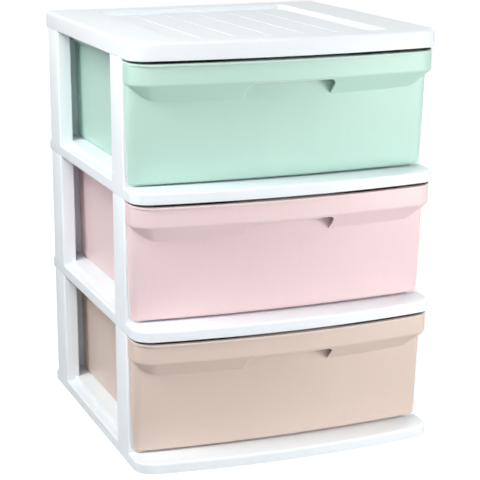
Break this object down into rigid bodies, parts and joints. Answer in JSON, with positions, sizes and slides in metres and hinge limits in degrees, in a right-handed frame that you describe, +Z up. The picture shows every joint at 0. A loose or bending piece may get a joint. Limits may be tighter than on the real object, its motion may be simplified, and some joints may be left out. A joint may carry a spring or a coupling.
{
  "type": "plastic drawer tower",
  "caption": "Free-standing tower of stacked open-sided shelf frames with a tray-topped cover and bow-fronted drawers that slide out on a finger notch.",
  "frame": {"origin": "middle of the rectangle that the tower covers on the floor, at floor level", "axes": "+X to the right seen from the front, +Y to the back, +Z up; drawers open towards -Y"},
  "size_m": [0.4, 0.423, 0.532],
  "materials": {
    "frame_white": "satin moulded polypropylene",
    "drawer_mint": "satin moulded polypropylene",
    "drawer_pink": "satin moulded polypropylene",
    "drawer_beige": "satin moulded polypropylene"
  },
  "bodies": {
    "tower": {"top_cover": "frame_white", "upper_frame": "frame_white", "middle_frame": "frame_white", "lower_frame": "frame_white"},
    "upper_drawer": {"upper_drawer": "drawer_mint"},
    "middle_drawer": {"middle_drawer": "drawer_pink"},
    "lower_drawer": {"lower_drawer": "drawer_beige"}
  },
  "joints": [
    {"name": "upper_drawer_slide", "type": "slide", "parent": "tower", "child": "upper_drawer", "axis": [0, -1, 0], "range_m": [0, 0.29]},
    {"name": "middle_drawer_slide", "type": "slide", "parent": "tower", "child": "middle_drawer", "axis": [0, -1, 0], "range_m": [0, 0.29]},
    {"name": "lower_drawer_slide", "type": "slide", "parent": "tower", "child": "lower_drawer", "axis": [0, -1, 0], "range_m": [0, 0.29]}
  ]
}
